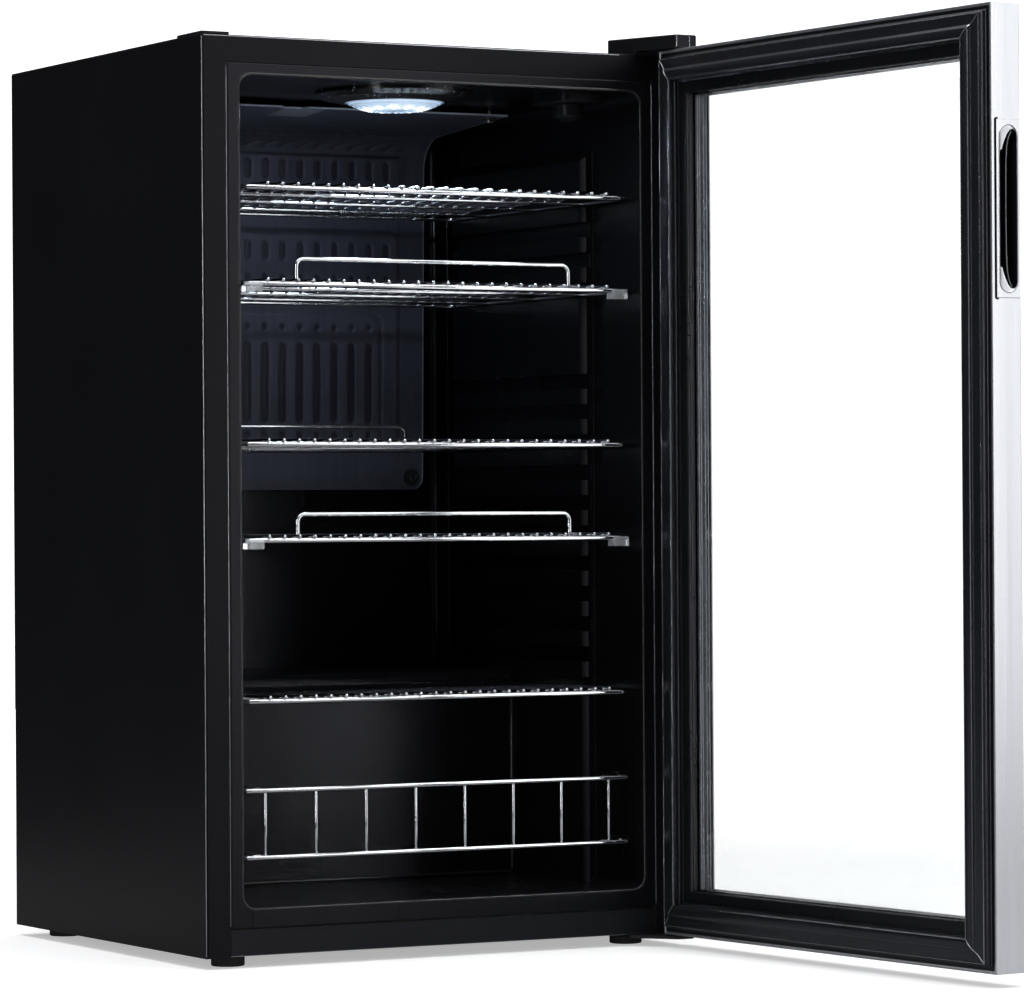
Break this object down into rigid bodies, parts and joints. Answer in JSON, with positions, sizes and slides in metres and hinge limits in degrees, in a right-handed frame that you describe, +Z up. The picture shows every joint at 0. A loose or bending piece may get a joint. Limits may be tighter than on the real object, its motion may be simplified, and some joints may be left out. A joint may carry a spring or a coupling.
{
  "type": "mini fridge",
  "caption": "Free-standing beverage mini fridge: black cabinet, chrome wire shelves, ceiling light and a hinged steel-framed glass door.",
  "frame": {"origin": "middle of the cabinet's footprint, on the floor it stands on", "axes": "+Z up, the cabinet's front and its opening face -Y, +X to the right seen from the front; the door's hinge is on the right"},
  "size_m": [0.5225, 0.9295, 0.8396],
  "materials": {
    "cabinet_paint": "satin",
    "frame_paint": "satin",
    "galvanised": "satin",
    "black_cover": "satin",
    "liner_black": "satin",
    "foam": "matt",
    "copper_tube": "satin",
    "evaporator_coat": "satin",
    "black_rubber": "matt",
    "plated_screw": "bright",
    "lens_clear": "clear",
    "board_white": "satin",
    "lamp_light": "clear",
    "chrome_wire": "bright",
    "clip_clear": "bright",
    "compressor_black": "satin",
    "tray_plastic": "satin",
    "stainless": "brushed",
    "door_plastic": "satin",
    "bush_plastic": "satin",
    "gasket_rubber": "satin",
    "pane_glass": "clear",
    "spacer_metal": "satin"
  },
  "bodies": {
    "cabinet": {"left_side_panel": "cabinet_paint", "right_side_panel": "cabinet_paint", "top_panel": "cabinet_paint", "rear_panel": "galvanised", "base_pan": "galvanised", "toe_kick": "frame_paint", "corner_cap": "black_cover", "compartment_wall": "galvanised", "liner": "liner_black", "condenser_tube": "copper_tube", "insulation_foam": "foam", "evaporator_plate": "evaporator_coat", "evaporator_grommets": "black_rubber", "evaporator_screws": "plated_screw", "light_housing": "black_cover", "light_lens": "lens_clear", "light_board": "board_white", "light_lamps": "lamp_light", "thermostat_body": "black_cover", "guard_rail": "chrome_wire", "guard_rail_clips": "liner_black", "compressor": "compressor_black", "compressor_mounts": "black_rubber", "compressor_terminal_cover": "black_cover", "drip_tray": "tray_plastic", "filter_drier": "copper_tube", "suction_tube": "copper_tube", "liquid_tube": "copper_tube", "rear_grille": "galvanised", "cord_gland": "black_cover", "rear_feet": "black_rubber", "foot_nuts": "plated_screw", "top_hinge_bracket": "frame_paint", "top_hinge_pin": "plated_screw", "hinge_screws": "plated_screw", "top_hinge_cover": "black_cover", "bottom_hinge_bracket": "frame_paint", "bottom_hinge_pin": "plated_screw"},
    "door": {"door_frame": "stainless", "door_liner": "door_plastic", "door_bushes": "bush_plastic", "door_gasket": "gasket_rubber", "inner_glass": "pane_glass", "glass_spacer": "spacer_metal", "outer_glass": "pane_glass", "handle_plate": "stainless", "handle_cup": "door_plastic"},
    "top_shelf": {"shelf_1": "chrome_wire"},
    "second_shelf": {"shelf_2": "chrome_wire", "shelf_2_rail": "chrome_wire", "shelf_2_clips": "clip_clear"},
    "middle_shelf": {"shelf_3": "chrome_wire", "shelf_3_rail": "chrome_wire"},
    "fourth_shelf": {"shelf_4": "chrome_wire", "shelf_4_rail": "chrome_wire", "shelf_4_clips": "clip_clear"},
    "low_shelf": {"shelf_5": "chrome_wire"},
    "dial": {"thermostat_dial": "black_cover"},
    "left_foot": {"left_levelling_foot": "black_rubber"},
    "right_foot": {"right_levelling_foot": "black_rubber"}
  },
  "joints": [
    {"name": "door_hinge", "type": "hinge", "parent": "cabinet", "child": "door", "pos_m": [0.2318, -0.2392, 0.42], "axis": [0, 0, 1], "range_deg": [-94, 16]},
    {"name": "top_shelf_slide", "type": "slide", "parent": "cabinet", "child": "top_shelf", "axis": [0, -1, 0], "range_m": [0, 0.25]},
    {"name": "second_shelf_slide", "type": "slide", "parent": "cabinet", "child": "second_shelf", "axis": [0, -1, 0], "range_m": [0, 0.25]},
    {"name": "middle_shelf_slide", "type": "slide", "parent": "cabinet", "child": "middle_shelf", "axis": [0, -1, 0], "range_m": [0, 0.25]},
    {"name": "fourth_shelf_slide", "type": "slide", "parent": "cabinet", "child": "fourth_shelf", "axis": [0, -1, 0], "range_m": [0, 0.25]},
    {"name": "low_shelf_slide", "type": "slide", "parent": "cabinet", "child": "low_shelf", "axis": [0, -1, 0], "range_m": [0, 0.14]},
    {"name": "dial_turn", "type": "hinge", "parent": "cabinet", "child": "dial", "pos_m": [0.167, -0.146, 0.775], "axis": [0, 0, -1], "range_deg": [0, 270]},
    {"name": "left_foot_turn", "type": "hinge", "parent": "cabinet", "child": "left_foot", "pos_m": [-0.205, -0.178, 0.01], "axis": [0, 0, 1], "continuous": true},
    {"name": "right_foot_turn", "type": "hinge", "parent": "cabinet", "child": "right_foot", "pos_m": [0.205, -0.178, 0.01], "axis": [0, 0, 1], "continuous": true}
  ]
}
